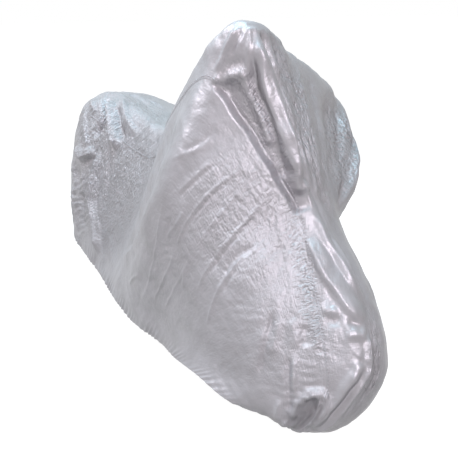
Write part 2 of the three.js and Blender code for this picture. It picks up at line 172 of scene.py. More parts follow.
MAIN_FOLDS = (
    # The seam's valley from the right grip to the neck: a steep wall below it and a gentle one above
    Fold(((8.0, -2.97), (7.5, -3.0), (7.0, -3.01), (6.0, -3.01), (5.5, -3.01), (4.95, -3.0)),
         46, -30, 0.7, 0.45, 0.06),
    # Over the right grip: the hollow at the foot of the peak and the lit ledge
    Fold(((7.96, -2.96), (7.84, -2.84), (7.7, -2.7), (7.58, -2.56), (7.5, -2.45)),
         30, -9, 0.8, 0.0, 0.15),
    Fold(((8.0, -2.98), (7.8, -2.94), (7.62, -2.8), (7.45, -2.64), (7.37, -2.54)),
         40, 19, 0.9, 0.35, 0.12),
    Fold(((7.72, -2.98), (7.6, -2.95), (7.45, -2.86), (7.34, -2.74)), 14, -4, 1.0),
    # The peak: its left-hand edge, the hollows beside it, and its lit middle edge
    Fold(((8.06, -2.05), (8.0, -2.25), (7.99, -2.5), (8.0, -2.75), (8.02, -2.92)), 20, 12, 0.7, 0.0, 0.2),
    Fold(((7.9, -2.1), (7.86, -2.3), (7.84, -2.5), (7.82, -2.65)), 16, -7, 0.8),
    Fold(((7.84, -2.05), (7.76, -2.2), (7.7, -2.4)), 14, 5, 0.8),
    Fold(((7.92, -1.95), (7.72, -2.05), (7.6, -2.16), (7.48, -2.32), (7.42, -2.47), (7.38, -2.59),
          (7.28, -2.67), (7.12, -2.72), (6.9, -2.76), (6.6, -2.82), (6.3, -2.88)),
         30, 17, 0.9, 0.0, 0.06),
    # The dark valley under the peak, down to the neck
    Fold(((7.87, -1.9), (7.64, -2.01), (7.47, -2.14), (7.37, -2.3), (7.27, -2.46), (7.06, -2.58),
          (6.85, -2.62), (6.6, -2.66), (6.4, -2.7), (6.2, -2.78), (5.95, -2.86), (5.6, -2.92)),
         42, -22, 0.8, -0.2, 0.06),
    # The flat-topped ridge from the peak to the neck: its crest and its left-hand edge
    Fold(((7.88, -1.84), (7.64, -1.93), (7.46, -1.98), (7.3, -1.97), (7.14, -1.94), (7.0, -1.94),
          (6.87, -1.94), (6.7, -1.96), (6.5, -1.98), (6.3, -2.0), (6.15, -2.03), (5.98, -2.13),
          (5.84, -2.28), (5.7, -2.48), (5.5, -2.72), (5.2, -2.88)), 42, 26, 0.85, 0.0, 0.05),
    Fold(((7.6, -2.0), (7.43, -2.06), (7.3, -2.08), (7.17, -2.15), (7.03, -2.23), (6.9, -2.28),
          (6.78, -2.37), (6.66, -2.42), (6.5, -2.5), (6.33, -2.55), (6.2, -2.62), (6.03, -2.7),
          (5.85, -2.78)), 22, 14, 0.9, 0.0, 0.1),
    Fold(((6.5, -2.0), (6.2, -2.03), (6.0, -2.13), (5.84, -2.3), (5.68, -2.5), (5.5, -2.72),
          (5.3, -2.85)), 34, 15, 0.6, -0.35, 0.25),
    Fold(((6.95, -2.4), (6.8, -2.46), (6.63, -2.52), (6.45, -2.6), (6.32, -2.64), (6.12, -2.76)),
         15, -10, 0.9),
    Fold(((7.75, -1.7), (7.5, -1.68), (7.3, -1.66), (7.1, -1.62), (6.9, -1.62), (6.65, -1.66),
          (6.42, -1.68), (6.25, -1.69), (6.08, -1.75), (5.88, -1.9), (5.65, -2.16), (5.45, -2.48),
          (5.3, -2.72)), 30, -16, 0.7, 0.0, 0.08),
    Fold(((7.9, -1.66), (7.72, -1.56), (7.55, -1.52), (7.35, -1.5), (7.1, -1.46)), 16, 9, 0.9),
    Fold(((7.8, -1.42), (7.6, -1.35), (7.4, -1.32), (7.1, -1.3)), 18, -7, 0.8),
    Fold(((7.35, -2.75), (7.1, -2.85), (6.8, -2.9), (6.5, -2.93)), 24, -7, 0.6),
    Fold(((6.1, -2.9), (5.8, -2.93), (5.5, -2.94)), 16, 6, 0.8),
    Fold(((5.6, -2.2), (5.45, -2.35), (5.25, -2.5)), 16, 9, 0.9),
    Fold(((6.65, -1.15), (6.4, -1.3), (6.1, -1.45), (5.8, -1.6)), 16, 7, 0.9),
    Fold(((6.4, -0.95), (6.15, -1.1), (5.9, -1.15)), 14, 6, 0.9),
    Fold(((5.8, -1.2), (5.5, -1.45), (5.3, -1.7)), 16, 7, 0.9),
    # The screen and the left mirror
    Fold(((7.75, -1.1), (7.3, -1.05), (6.9, -1.2)), 40, 8, 0.6),
    Fold(((7.0, -1.2), (6.4, -1.3), (5.8, -1.7)), 40, -7, 0.4),
    Fold(((7.6, -0.4), (6.6, -0.6), (5.3, -1.0)), 55, 10, 0.4),
    Fold(((7.7, 0.3), (6.6, 0.1), (5.4, -0.3)), 45, -9, 0.4),
    Fold(((7.6, 1.2), (6.6, 1.0), (5.4, 0.6)), 60, -16, 0.4),
    Fold(((7.9, 2.0), (7.0, 1.9), (5.4, 1.6)), 50, 13, 0.5),
    Fold(((7.9, 2.5), (7.2, 2.4), (6.4, 2.3)), 34, -9, 0.5),
    Fold(((7.7, 2.9), (7.0, 2.8), (6.3, 2.7)), 34, 8, 0.5),
    # Down over the mudguard: soft steps, steep below and wide above
    Fold(((4.98, -2.72), (4.86, -2.62), (4.72, -2.52), (4.57, -2.42), (4.44, -2.14), (4.33, -2.0),
          (4.22, -1.88), (4.08, -1.74), (3.92, -1.48), (3.7, -1.15)), 34, 15, 0.6, 0.45, 0.25),
    Fold(((4.7, -2.95), (4.52, -2.92), (4.38, -2.86), (4.25, -2.78), (4.1, -2.66), (4.0, -2.55),
          (3.82, -2.42), (3.66, -2.27), (3.51, -2.08), (3.37, -1.8), (3.3, -1.6)),
         38, 19, 0.6, 0.5, 0.25),
    Fold(((4.82, -2.2), (4.55, -1.86), (4.3, -1.6), (4.0, -1.3), (3.7, -1.0)), 20, 7, 0.5, 0.4, 0.3),
    Fold(((3.74, -2.95), (3.66, -2.8), (3.6, -2.68), (3.66, -2.5)), 34, 8, 0.7, 0.4, 0.3),
    Fold(((3.56, -2.9), (3.45, -2.7), (3.42, -2.45)), 28, -8, 0.4, 0.0, 0.3),
    Fold(((3.08, -2.48), (3.1, -2.25), (3.1, -2.0), (3.08, -1.78), (3.06, -1.62)),
         34, 10, 0.7, 0.35, 0.25),
    Fold(((3.32, -2.4), (3.33, -2.1), (3.28, -1.8), (3.2, -1.6)), 26, -8, 0.4, 0.0, 0.3),
    # Over the front wheel: the edges of its tread
    Fold(((3.14, -1.58), (2.92, -1.56), (2.7, -1.55), (2.47, -1.57), (2.27, -1.72), (2.09, -1.8),
          (1.9, -1.9), (1.66, -1.98), (1.4, -2.0), (1.1, -2.08), (0.8, -2.2)), 22, 14, 0.85, 0.0, 0.08),
    Fold(((2.62, -1.66), (2.42, -1.82), (2.13, -2.0), (1.97, -2.18), (1.75, -2.28), (1.5, -2.38),
          (1.25, -2.42)), 16, -11, 0.8, 0.0, 0.2),
    Fold(((2.62, -2.0), (2.37, -2.16), (2.17, -2.27), (1.99, -2.42), (1.8, -2.5), (1.62, -2.54),
          (1.4, -2.56), (1.1, -2.6)), 30, 13, 0.4, 0.0, 0.2),
    Fold(((2.35, -1.55), (2.05, -1.7), (1.78, -1.8), (1.5, -1.85), (1.2, -1.9)), 14, -8, 0.8, 0.0, 0.2),
    Fold(((2.4, -1.42), (2.0, -1.58), (1.7, -1.68), (1.4, -1.74)), 12, 5, 0.9),
    Fold(((2.75, -1.15), (2.4, -1.28), (2.0, -1.42), (1.6, -1.55), (1.2, -1.7)), 22, -8, 0.5),
    Fold(((3.0, -1.2), (2.5, -0.85), (2.0, -1.0), (1.5, -1.3)), 20, -6, 0.6),
    Fold(((3.3, -1.1), (2.8, -0.7), (2.2, -0.7), (1.6, -1.0)), 18, 5, 0.7),
    # The valley behind the right grip, and its partner on the left
    Fold(((8.4, -3.75), (8.6, -4.0), (8.88, -4.15), (9.4, -4.3), (10.2, -4.42), (10.8, -4.5)),
         44, 10, 0.8, 0.3, 0.35),
    Fold(((7.55, -3.1), (7.45, -3.35), (7.55, -3.65), (7.8, -4.0)), 95, -4, 0.0, 0.0, 0.35),
    Fold(((9.2, -3.0), (9.5, -4.0), (10.0, -4.8)), 95, -14, 0.2),
    Fold(((9.3, 3.0), (9.7, 4.8)), 95, -24),
    # Over the saddle and the tail
    Fold(((9.6, -1.2), (12.6, -1.6)), 80, -14),
    Fold(((9.6, 1.3), (12.6, 1.5)), 80, -12),
    Fold(((13.85, -2.1), (13.6, -2.42), (13.45, -2.68), (13.4, -2.95), (13.45, -3.12), (13.56, -3.28)),
         32, -36, 0.8, 0.0, 0.2),
    Fold(((13.6, -2.15), (13.42, -2.4), (13.2, -2.66), (12.97, -2.88), (12.78, -3.05), (12.6, -3.2)),
         42, 34, 0.7, 0.3, 0.2),
    Fold(((13.15, -2.25), (12.95, -2.55), (12.75, -2.8), (12.5, -2.95)), 30, -22, 0.7),
    Fold(((14.5, -2.9), (14.25, -3.1), (13.95, -3.3), (13.7, -3.46)), 30, 13, 0.7),
    Fold(((14.6, -2.5), (14.1, -2.7), (13.75, -2.85)), 24, 9, 0.7),
    Fold(((14.7, -3.5), (14.3, -3.58), (14.0, -3.6), (13.6, -3.5), (13.33, -3.38)),
         42, 30, 0.9, 0.5, 0.25),
    Fold(((15.0, -3.85), (14.4, -3.85), (13.9, -3.82)), 70, -15, 0.3, 0.0, 0.3),
    Fold(((13.25, -3.35), (13.26, -3.6), (13.25, -3.85), (13.2, -4.05), (13.02, -4.2), (12.68, -4.5),
          (12.43, -4.8)), 44, 32, 0.7, 0.3, 0.15),
    Fold(((13.9, -4.0), (13.7, -4.3), (13.5, -4.65)), 50, -14, 0.4),
    Fold(((13.0, -3.15), (12.78, -3.45), (12.68, -3.75), (12.6, -4.1)), 34, -9, 0.5),
    Fold(((12.85, -3.85), (12.75, -4.2), (12.45, -4.5)), 24, 7, 0.7),
    Fold(((13.5, -1.6), (13.15, -1.9), (12.9, -2.15), (12.62, -2.45), (12.35, -2.55), (12.1, -2.5)),
         34, 13, 0.8, -0.3),
    Fold(((14.1, -0.95), (13.7, -0.88), (13.3, -0.78), (13.0, -0.7)), 26, -12, 0.7),
    Fold(((14.0, -1.5), (13.6, -1.6), (13.3, -1.55), (12.9, -1.4)), 30, 9, 0.7),
    Fold(((14.3, -1.9), (13.9, -2.0), (13.6, -1.95)), 20, -8, 0.7),
    Fold(((13.6, -0.3), (13.2, -0.2), (12.8, -0.1)), 24, 7, 0.7),
    Fold(((14.2, -4.1), (14.3, -4.5), (14.2, -4.8)), 34, 10, 0.8),
    Fold(((15.0, -4.0), (14.8, -4.3), (14.9, -4.7)), 30, 9, 0.8),
    Fold(((14.6, -3.7), (14.45, -3.95), (14.6, -4.2)), 20, 7, 0.9),
    Fold(((13.95, -3.75), (13.75, -3.95), (13.9, -4.2)), 20, 7, 0.9),
    Fold(((12.3, -4.1), (11.9, -4.45), (11.6, -4.75)), 30, 6, 0.6),
    # Down the left side and the back
    Fold(((7.3, 3.6), (6.3, 4.8)), 70, -8),
    Fold(((15.2, -1.6), (17.4, -1.3)), 90, 11),
    Fold(((15.2, 0.2), (17.4, 0.1)), 90, -12),
    Fold(((15.2, 1.9), (17.4, 1.4)), 90, 11),
)

# Creases from storage, and the smaller folds of the right-hand panel
STORAGE_CREASES = (
    Fold(((7.3, -3.32), (7.5, -3.5), (7.85, -3.62), (8.2, -3.69)), 10, 4.3, 1.0),
    Fold(((7.4, -3.3), (7.6, -3.48), (7.95, -3.6)), 9, -3.0, 1.0),
    Fold(((7.05, -3.45), (7.18, -3.6), (7.3, -3.72), (7.44, -3.86)), 9, 4.1, 1.0, 0.0, 0.15),
    Fold(((6.97, -3.47), (7.1, -3.62), (7.22, -3.74), (7.35, -3.88)), 9, -4.1, 1.0, 0.0, 0.15),
    Fold(((6.35, -3.25), (6.52, -3.42), (6.62, -3.6), (6.68, -3.75), (6.7, -3.88), (6.68, -4.0),
          (6.6, -4.14)), 9, 4.9, 1.0, 0.0, 0.1),
    Fold(((6.44, -3.45), (6.54, -3.62), (6.6, -3.77), (6.62, -3.9)), 9, -4.6, 1.0, 0.0, 0.15),
    Fold(((6.15, -3.3), (6.1, -3.5), (6.06, -3.66), (6.02, -3.8), (5.95, -3.95)), 9, 3.2, 1.0),
    Fold(((5.62, -3.25), (5.56, -3.4), (5.52, -3.52), (5.49, -3.64), (5.45, -3.76), (5.4, -3.9),
          (5.32, -4.03), (5.2, -4.16)), 9, 4.6, 1.0, 0.0, 0.1),
    Fold(((5.46, -3.42), (5.41, -3.55), (5.37, -3.7), (5.31, -3.84), (5.24, -3.97)),
         9, -4.6, 1.0, 0.0, 0.12),
    Fold(((5.22, -3.4), (5.15, -3.5), (5.1, -3.6)), 9, 3.5, 1.0),
    Fold(((5.02, -3.62), (4.95, -3.76), (4.86, -3.91), (4.74, -4.06), (4.56, -4.2), (4.36, -4.33)),
         10, 4.9, 1.0, 0.0, 0.1),
    Fold(((4.9, -3.7), (4.8, -3.86), (4.68, -4.0)), 9, -4.1, 1.0),
    Fold(((6.6, -4.14), (6.52, -4.3), (6.56, -4.45), (6.7, -4.68)), 10, 4.1, 1.0),
    Fold(((7.9, -3.9), (7.6, -4.1), (7.35, -4.35), (7.2, -4.7)), 10, 3.5, 1.0),
    Fold(((6.0, -4.0), (5.9, -4.2), (5.92, -4.4), (6.0, -4.7)), 10, 3.2, 1.0),
    Fold(((6.95, -3.85), (6.98, -4.0), (7.08, -4.12), (7.0, -4.2)), 12, 5.1, 0.9),
    Fold(((7.3, -4.0), (7.2, -4.15)), 12, -4.5, 0.9),
    Fold(((5.9, -4.15), (5.6, -4.3)), 14, 4.8, 0.6),
    Fold(((8.8, -4.72), (8.0, -4.6), (7.4, -4.62)), 12, 4.8, 0.8),
    # A rounded swelling below the neck, with creases at its edge
    Fold(((4.75, -3.9), (4.72, -3.64), (4.6, -3.4)), 85, 9, 0.0),
    Fold(((5.0, -3.5), (5.08, -3.7), (4.95, -3.9)), 22, -6, 0.7),
    Fold(((4.85, -3.35), (4.62, -3.32), (4.4, -3.38)), 24, -5, 0.6),
    # The dart, and the folds above the front hem
    Fold(((3.98, -3.58), (3.62, -3.72), (3.12, -3.96), (2.7, -4.15)), 22, -8, 0.9, 0.4, 0.15),
    Fold(((3.85, -3.52), (3.5, -3.64), (3.05, -3.85)), 30, 6, 0.5),
    Fold(((3.8, -3.75), (3.4, -3.9), (2.7, -4.3)), 34, 5, 0.5),
    Fold(((3.0, -3.57), (2.5, -3.7), (2.05, -3.76), (1.5, -3.8)), 20, -8, 0.8, 0.0, 0.12),
    Fold(((3.0, -3.5), (2.5, -3.62), (2.0, -3.68)), 22, 9, 0.6),
    Fold(((3.55, -3.22), (3.3, -3.26), (3.05, -3.32)), 30, -9, 0.5),
    Fold(((3.75, -3.38), (3.4, -3.42), (3.1, -3.46)), 34, 7, 0.5),
    Fold(((3.6, -3.08), (3.3, -3.08), (2.9, -3.12)), 22, 6, 0.6),
    # The hem curls up in front of the wheel
    Fold(((1.2, -3.66), (1.5, -3.6), (1.72, -3.56), (1.88, -3.48), (1.98, -3.36), (2.0, -3.2),
          (1.96, -3.06), (1.85, -2.94), (1.7, -2.85), (1.45, -2.77), (1.0, -2.7)), 24, 17, 0.5, 0.0, 0.1),
    Fold(((1.8, -3.45), (1.9, -3.36), (1.93, -3.25), (1.9, -3.14), (1.72, -3.06), (1.5, -3.0),
          (1.3, -2.95)), 12, 9, 0.9, 0.0, 0.15),
    Fold(((1.84, -3.22), (1.65, -3.2), (1.35, -3.18), (0.9, -3.18), (0.3, -3.2)), 20, -8, 0.6, 0.0, 0.15),
    Fold(((1.9, -3.06), (1.7, -3.02), (1.4, -2.98), (1.0, -2.95)), 12, 9, 0.8, 0.0, 0.15),
    Fold(((1.6, -3.22), (1.3, -3.19), (0.9, -3.17), (0.5, -3.15)), 12, 8, 0.8),
    Fold(((1.25, -3.4), (0.9, -3.42), (0.4, -3.4)), 12, 8, 0.8),
    Fold(((1.4, -2.95), (1.0, -2.92), (0.5, -2.9)), 12, 7, 0.8),
    Fold(((1.2, -3.8), (0.8, -3.7), (0.3, -3.6)), 16, 9, 0.7),
    Fold(((1.0, -2.85), (0.6, -2.75), (0.2, -2.65)), 14, 7, 0.8),
    Fold(((0.9, -2.4), (0.5, -2.3), (0.2, -2.2)), 16, 6, 0.8),
    Fold(((1.9, -3.95), (1.4, -4.05), (0.9, -4.0)), 20, 7, 0.7),
)


class Grain(NamedTuple):
    """Small creases over an oval of cloth, at and spread being (along, across).

    angle turns the creases from the lengthways direction, in degrees. long and short are their
    spacings in millimetres, and height their height.
    """

    at: tuple
    spread: tuple
    angle: float
    long: float
    short: float
    height: float


GRAINS = (
    # The right-hand panel: ladders between the storage creases, and zigzags nearer the neck
    Grain((6.1, -3.75), (0.9, 0.5), 0, 70, 17, 2.2),
    Grain((5.6, -3.4), (0.9, 0.35), 22, 60, 24, 3.2),
    Grain((5.2, -3.3), (0.7, 0.3), -25, 60, 26, 3.0),
    Grain((6.2, -3.2), (0.9, 0.2), 15, 60, 22, 2.2),
    Grain((5.0, -3.7), (0.9, 0.4), 10, 50, 24, 2.0),
    Grain((7.0, -4.1), (1.0, 0.6), 60, 80, 30, 1.8),
    Grain((6.4, -4.5), (1.6, 0.5), 70, 120, 45, 2.4),
    Grain((3.8, -3.5), (1.3, 0.6), 70, 90, 34, 2.2),
    Grain((2.4, -3.4), (1.2, 0.8), 80, 60, 28, 2.4),
    Grain((2.6, -4.3), (1.4, 0.6), 80, 90, 36, 1.8),
    # Along the seam
    Grain((4.2, -3.1), (1.1, 0.16), 75, 26, 12, 2.6),
    Grain((6.4, -2.88), (1.4, 0.16), 60, 34, 20, 3.2),
    # The front, between the mirrors and the neck
    Grain((7.2, -2.6), (0.5, 0.3), 40, 40, 20, 4.4),
    Grain((6.5, -2.75), (0.9, 0.22), 20, 40, 20, 4.6),
    Grain((7.2, -1.1), (0.9, 0.5), 15, 50, 26, 6.0),
    Grain((7.1, -0.9), (0.6, 0.6), 80, 36, 22, 4.0),
    Grain((6.2, -1.2), (0.9, 0.7), 20, 70, 26, 4.5),
    Grain((6.4, -0.6), (1.6, 1.3), 5, 120, 34, 2.4),
    Grain((7.0, 1.9), (1.2, 0.9), 20, 60, 30, 8.0),
    Grain((6.6, 1.6), (1.0, 0.8), 75, 50, 28, 6.0),
    Grain((4.1, -2.3), (1.2, 0.8), 10, 120, 30, 2.4),
    Grain((2.8, -2.2), (0.9, 0.8), 40, 60, 34, 2.8),
    Grain((2.0, -1.15), (1.1, 0.6), 0, 120, 17, 2.6),
    Grain((1.2, -3.2), (0.7, 0.5), 0, 60, 14, 3.4),
    # The tail
    Grain((12.2, -3.0), (1.6, 1.0), 85, 45, 20, 4.6),
    Grain((12.0, -3.5), (1.4, 1.0), 60, 40, 24, 4.0),
    Grain((11.9, -4.2), (1.2, 0.8), 80, 70, 24, 2.6),
    Grain((14.2, -3.2), (0.9, 0.6), 60, 60, 34, 8.0),
    Grain((14.5, -4.2), (1.2, 0.9), 20, 70, 40, 9.0),
    Grain((13.7, -3.9), (0.6, 0.8), 30, 60, 34, 6.0),
    Grain((13.6, -2.3), (1.0, 0.9), 60, 50, 28, 5.0),
    Grain((13.4, -1.0), (1.2, 1.0), 30, 70, 34, 3.6),
    Grain((16.0, 0.0), (2.0, 5.0), 0, 120, 50, 4.0),
    Grain((9.4, -3.6), (1.0, 1.0), 80, 90, 26, 2.6),
    # The left-hand side
    Grain((6.0, 4.0), (3.0, 1.0), 60, 120, 50, 3.0),
    Grain((12.5, 3.6), (3.5, 1.6), 80, 120, 50, 3.0),
    Grain((3.0, 3.6), (2.0, 1.4), 70, 80, 36, 2.4),
    Grain((10.5, 0.5), (2.4, 2.4), 10, 120, 50, 3.0),
)


class Patch(NamedTuple):
    """Where the finest creases lie, at and spread being (along, across).

    crossways, lengthways and crumpled say how strong each kind is in the patch.
    """

    at: tuple
    spread: tuple
    crossways: float
    lengthways: float
    crumpled: float


PATCHES = (
    # The tail, finely creased from top to bottom
    Patch((12.2, -3.2), (2.2, 1.7), 3.4, 0.0, 0.1),
    Patch((14.3, -3.6), (1.4, 1.6), 1.4, 0.8, 0.4),
    Patch((13.4, -1.4), (1.8, 1.6), 0.6, 1.2, 0.5),
    # The front between the mirrors
    Patch((6.6, -0.6), (2.0, 1.3), 0.3, 1.8, 0.5),
    Patch((6.7, -2.75), (1.4, 0.35), 1.2, 0.4, 0.6),
    Patch((6.8, 2.0), (1.6, 1.4), 0.6, 0.8, 1.0),
    # The right-hand panel
    Patch((5.7, -3.45), (1.6, 0.6), 0.5, 0.5, 0.3),
    Patch((6.3, -4.2), (1.9, 0.9), 0.3, 0.5, 0.2),
    Patch((3.4, -3.6), (1.9, 1.3), 0.2, 0.3, 0.2),
    # Along the seam and around the front hem
    Patch((4.0, -3.08), (1.4, 0.2), 1.8, 0.0, 0.4),
    Patch((1.4, -3.2), (0.8, 0.8), 0.2, 1.4, 0.4),
    Patch((2.4, -0.8), (1.6, 1.0), 0.2, 1.8, 0.3),
    # The back and the left-hand side
    Patch((16.5, 0.0), (2.5, 6.0), 0.4, 1.0, 0.5),
    Patch((9.0, 4.0), (7.0, 1.5), 0.6, 0.4, 0.4),
    Patch((11.0, 0.0), (2.5, 3.0), 0.4, 1.0, 0.4),
)


class Lamp(NamedTuple):
    """A square soft lamp that faces a target, with its size in metres and its power in watts."""

    name: str
    place: tuple
    target: tuple
    size: float
    power: float
    colour: tuple


LAMPS = (
    Lamp("sky_light", (0.1, -0.35, 3.4), (0.4, -0.1, 0.0), 1.8, 90, (0.50, 0.85, 1.0)),
    Lamp("left_light", (-0.3, -3.0, 2.8), (0.4, -0.2, -0.2), 1.5, 80, (0.99, 0.92, 1.0)),
    Lamp("front_light", (3.6, -1.1, 2.0), (0.8, -0.1, -0.2), 1.5, 80, (0.99, 0.91, 1.0)),
    Lamp("back_light", (-2.1, -2.1, 3.1), (0.2, -0.1, -0.2), 1.4, 56, (0.86, 0.94, 1.0)),
)


class ClothSizes(bpy.types.PropertyGroup):
    """Sizes and colours of the coated cloth."""

    cell: FloatProperty(
        name="Mesh cell", description="Spacing of the cloth's mesh points", default=0.0067, unit="LENGTH"
    )
    thickness: FloatProperty(
        name="Thickness", description="Distance between the cloth's two faces", default=0.0006, unit="LENGTH"
    )
    lap_gap: FloatProperty(
        name="Lap gap", description="Space between the two layers of a seam", default=0.0001, unit="LENGTH"
    )
    gather: FloatProperty(
        name="Gather height", description="Height of the gathers at the hem", default=0.006, unit="LENGTH"
    )
    crinkle: FloatProperty(
        name="Crinkle height", description="Height of the crumpling all over", default=0.003, unit="LENGTH"
    )
    crinkle_size: FloatProperty(
        name="Crinkle size", description="Spacing of the crumpling all over", default=0.034, unit="LENGTH"
    )
    fine_height: FloatProperty(
        name="Fine crease height", description="Height of the finest creases", default=0.008, unit="LENGTH"
    )
    colour: FloatVectorProperty(
        name="Coating",
        description="Colour of the silver coating",
        subtype="COLOR",
        default=(0.44, 0.43, 0.445),
    )
    shade: FloatVectorProperty(
        name="Worn coating",
        description="Colour where the coating is thin",
        subtype="COLOR",
        default=(0.38, 0.37, 0.38),
    )
    stitch_spacing: FloatProperty(
        name="Stitch spacing", description="From one stitch to the next", default=0.012, unit="LENGTH"
    )
    stitch_length: FloatProperty(
        name="Stitch length", description="Length of one stitch of the seams", default=0.0085, unit="LENGTH"
    )
    stitch_width: FloatProperty(
        name="Stitch width", description="Width of the seam's thread", default=0.0042, unit="LENGTH"
    )
    seed: IntProperty(name="Seed", description="Picks another set of small crinkles", default=7)


class StageSizes(bpy.types.PropertyGroup):
    """Camera and floor."""

    camera: FloatVectorProperty(
        name="Camera",
        description="Where the camera stands",
        subtype="TRANSLATION",
        default=(3.021, -1.454, 0.611),
    )
    target: FloatVectorProperty(
        name="Target",
        description="What the camera looks at",
        subtype="TRANSLATION",
        default=(0.743, -0.194, -0.266),
    )
    lens: FloatProperty(
        name="Lens",
        description="Focal length for a 36 mm sensor, in millimetres",
        default=55.94,
        unit="CAMERA",
    )
    floor: FloatVectorProperty(
        name="Floor", description="Colour of the floor", subtype="COLOR", default=(0.2, 0.2, 0.2)
    )


# ---------------------------------------------------------------- the draped surface


def rotation(axis, angle):
    """The matrix that turns about an axis through the origin."""
    x, y, z = axis
    cross = np.array([[0, -z, y], [z, 0, -x], [-y, x, 0]])
    return np.eye(3) + math.sin(angle) * cross + (1 - math.cos(angle)) * cross @ cross


def section_points(section):
    """The section's control points, from the right hem over the crown to the left hem."""
    behind = STEERING_AXIS_BEHIND_AXLE
    axis = (-math.sin(RAKE), 0, math.cos(RAKE))
    pivot = np.array([FRONT_AXLE[0] - behind * math.cos(RAKE), 0, FRONT_AXLE[1] - behind * math.sin(RAKE)])
    crown, ridge = section.crown, section.ridge
    shoulder = ((2 * crown[0] + ridge[0]) / 3, ridge[1] / 2, (2 * crown[1] + ridge[2]) / 3)
    turn, hem_turn = section.steer, section.hem_steer
    # Each point of one half, with the shares of the steering and of the lean that it follows
    half = (
        ((crown[0], 0, crown[1]), turn, 1),
        (shoulder, turn, 1),
        (ridge, turn, 1),
        (section.seam, turn, 1),
        (section.flank, 0.6 * turn + 0.4 * hem_turn, 0.6 + 0.4 * hem_turn),
        (section.hem, hem_turn, hem_turn),
    )
    points = np.zeros((2 * HEM_LINE + 1, 3))
    for side in (-1, 1):
        for line, ((x, width, z), steered, leaned) in enumerate(half):
            point = rotation(axis, STEER * steered) @ (np.array([x, side * width, z]) - pivot) + pivot
            points[HEM_LINE + side * line] = (
                point[0],
                point[1] * math.cos(LEAN) + point[2] * math.sin(LEAN),
                point[2] * math.cos(LEAN * leaned) - point[1] * math.sin(LEAN) * leaned,
            )
    return points


def run_out(points):
    """The points with one more at each end, in a straight line with the last two."""
    return np.concatenate([[2 * points[0] - points[1]], points, [2 * points[-1] - points[-2]]])


CAGE = run_out(np.array([section_points(section) for section in SECTIONS]))
CAGE = np.moveaxis(run_out(np.moveaxis(CAGE, 1, 0)), 0, 1)


def spline_weights(counts, number):
    """One row for each place: how much each control point counts there on a smooth curve."""
    index = np.clip(np.floor(counts).astype(int), 0, number - 2)
    t = counts - index
    shares = (
        -0.5 * t**3 + t**2 - 0.5 * t,
        1.5 * t**3 - 2.5 * t**2 + 1,
        -1.5 * t**3 + 2 * t**2 + 0.5 * t,
        0.5 * t**3 - 0.5 * t**2,
    )
    weights = np.zeros((len(counts), number + 2))
    for step, share in enumerate(shares):
        weights[np.arange(len(counts)), index + step] = share
    return weights


def place_weights(along, across):
    """The weights of the cage's sections along the cover, and of its lines across it."""
    return spline_weights(along, LAST_SECTION + 1), spline_weights(across + HEM_LINE, 2 * HEM_LINE + 1)


def in_oval(along, across, oval):
    """One at the middle of an oval, falling to nought at its rim."""
    off_along = (along - oval.at[0]) / oval.spread[0]
    off_across = (across - oval.at[1]) / oval.spread[1]
    return np.clip(1 - off_along**2 - off_across**2, 0, 1)


def swelled(points, along, across):
    """The points with the loose cloth added, in metres from the frame's origin."""
    for swell in SWELLS:
        points = points + in_oval(along, across, swell)[..., None] ** 1.5 * np.array(swell.push)
    return (points - np.array(SADDLE_POINT)) * MM


def base_grid(along, across):
    """The unfolded surface on a grid of places, in metres."""
    rows, columns = place_weights(along, across)
    points = np.einsum("ai,ijk,cj->ack", rows, CAGE, columns)
    return swelled(points, along[:, None], across[None, :])


def base_points(along, across):
    """The unfolded surface at a list of places, in metres."""
    rows, columns = place_weights(along, across)
    return swelled(np.einsum("ni,ijk,nj->nk", rows, CAGE, columns), along, across)


def unit(vectors):
    """The vectors at length one."""
    return vectors / np.maximum(np.linalg.norm(vectors, axis=-1, keepdims=True), 1e-9)


def outward(points):
    """The outward direction at each point of a grid."""
    return unit(np.cross(np.gradient(points, axis=1), np.gradient(points, axis=0)))


def travelled(line):
    """The distance along a line of points, at each of them."""
    return np.concatenate([[0], np.linalg.norm(np.diff(line, axis=0), axis=1).cumsum()])


def even_places(start, end, cell, lines, crossing):
    """Places from start to end, about a cell apart where the cloth is longest between sections."""
    axis = 0 if crossing == "along" else 1
    places = [float(start)]
    for low in np.arange(math.floor(start), math.ceil(end)):
        a, b = max(low, start), min(low + 1, end)
        steps = np.linspace(a, b, STEPS_PER_SECTION)
        grid = base_grid(steps, lines) if crossing == "along" else base_grid(lines, steps)
        length = np.linalg.norm(np.diff(grid, axis=axis), axis=2).sum(axis=axis)
        number = max(2, math.ceil(0.5 * (length.mean() + length.max()) / cell))
        places.extend(np.linspace(a, b, number + 1)[1:])
    return np.array(places)


def even_cells(places):
    """The places, spread anew where needed so that there is an even number of cells."""
    if len(places) % 2 == 1:
        return places
    return np.interp(np.linspace(0, len(places) - 1, len(places) + 1), np.arange(len(places)), places)


class Panel:
    """A grid of places on the cover, with its base points, directions and heights."""

    def __init__(self, along, across):
        self.along, self.across = along, across
        self.base = base_grid(along, across)
        self.normal = outward(self.base)
        self.height = np.zeros(self.base.shape[:2])

    def window(self, low, high, margin_along=0, margin_across=0):
        """The slices of the grid near a box of places."""
        rows = np.searchsorted(self.along, (low[0] - margin_along, high[0] + margin_along))
        columns = np.searchsorted(self.across, (low[1] - margin_across, high[1] + margin_across))
        return slice(*rows), slice(*columns)

    def folded(self):
        """The points of the folded cloth."""
        return self.base + self.normal * self.height[..., None]


# ---------------------------------------------------------------- folds and crinkles


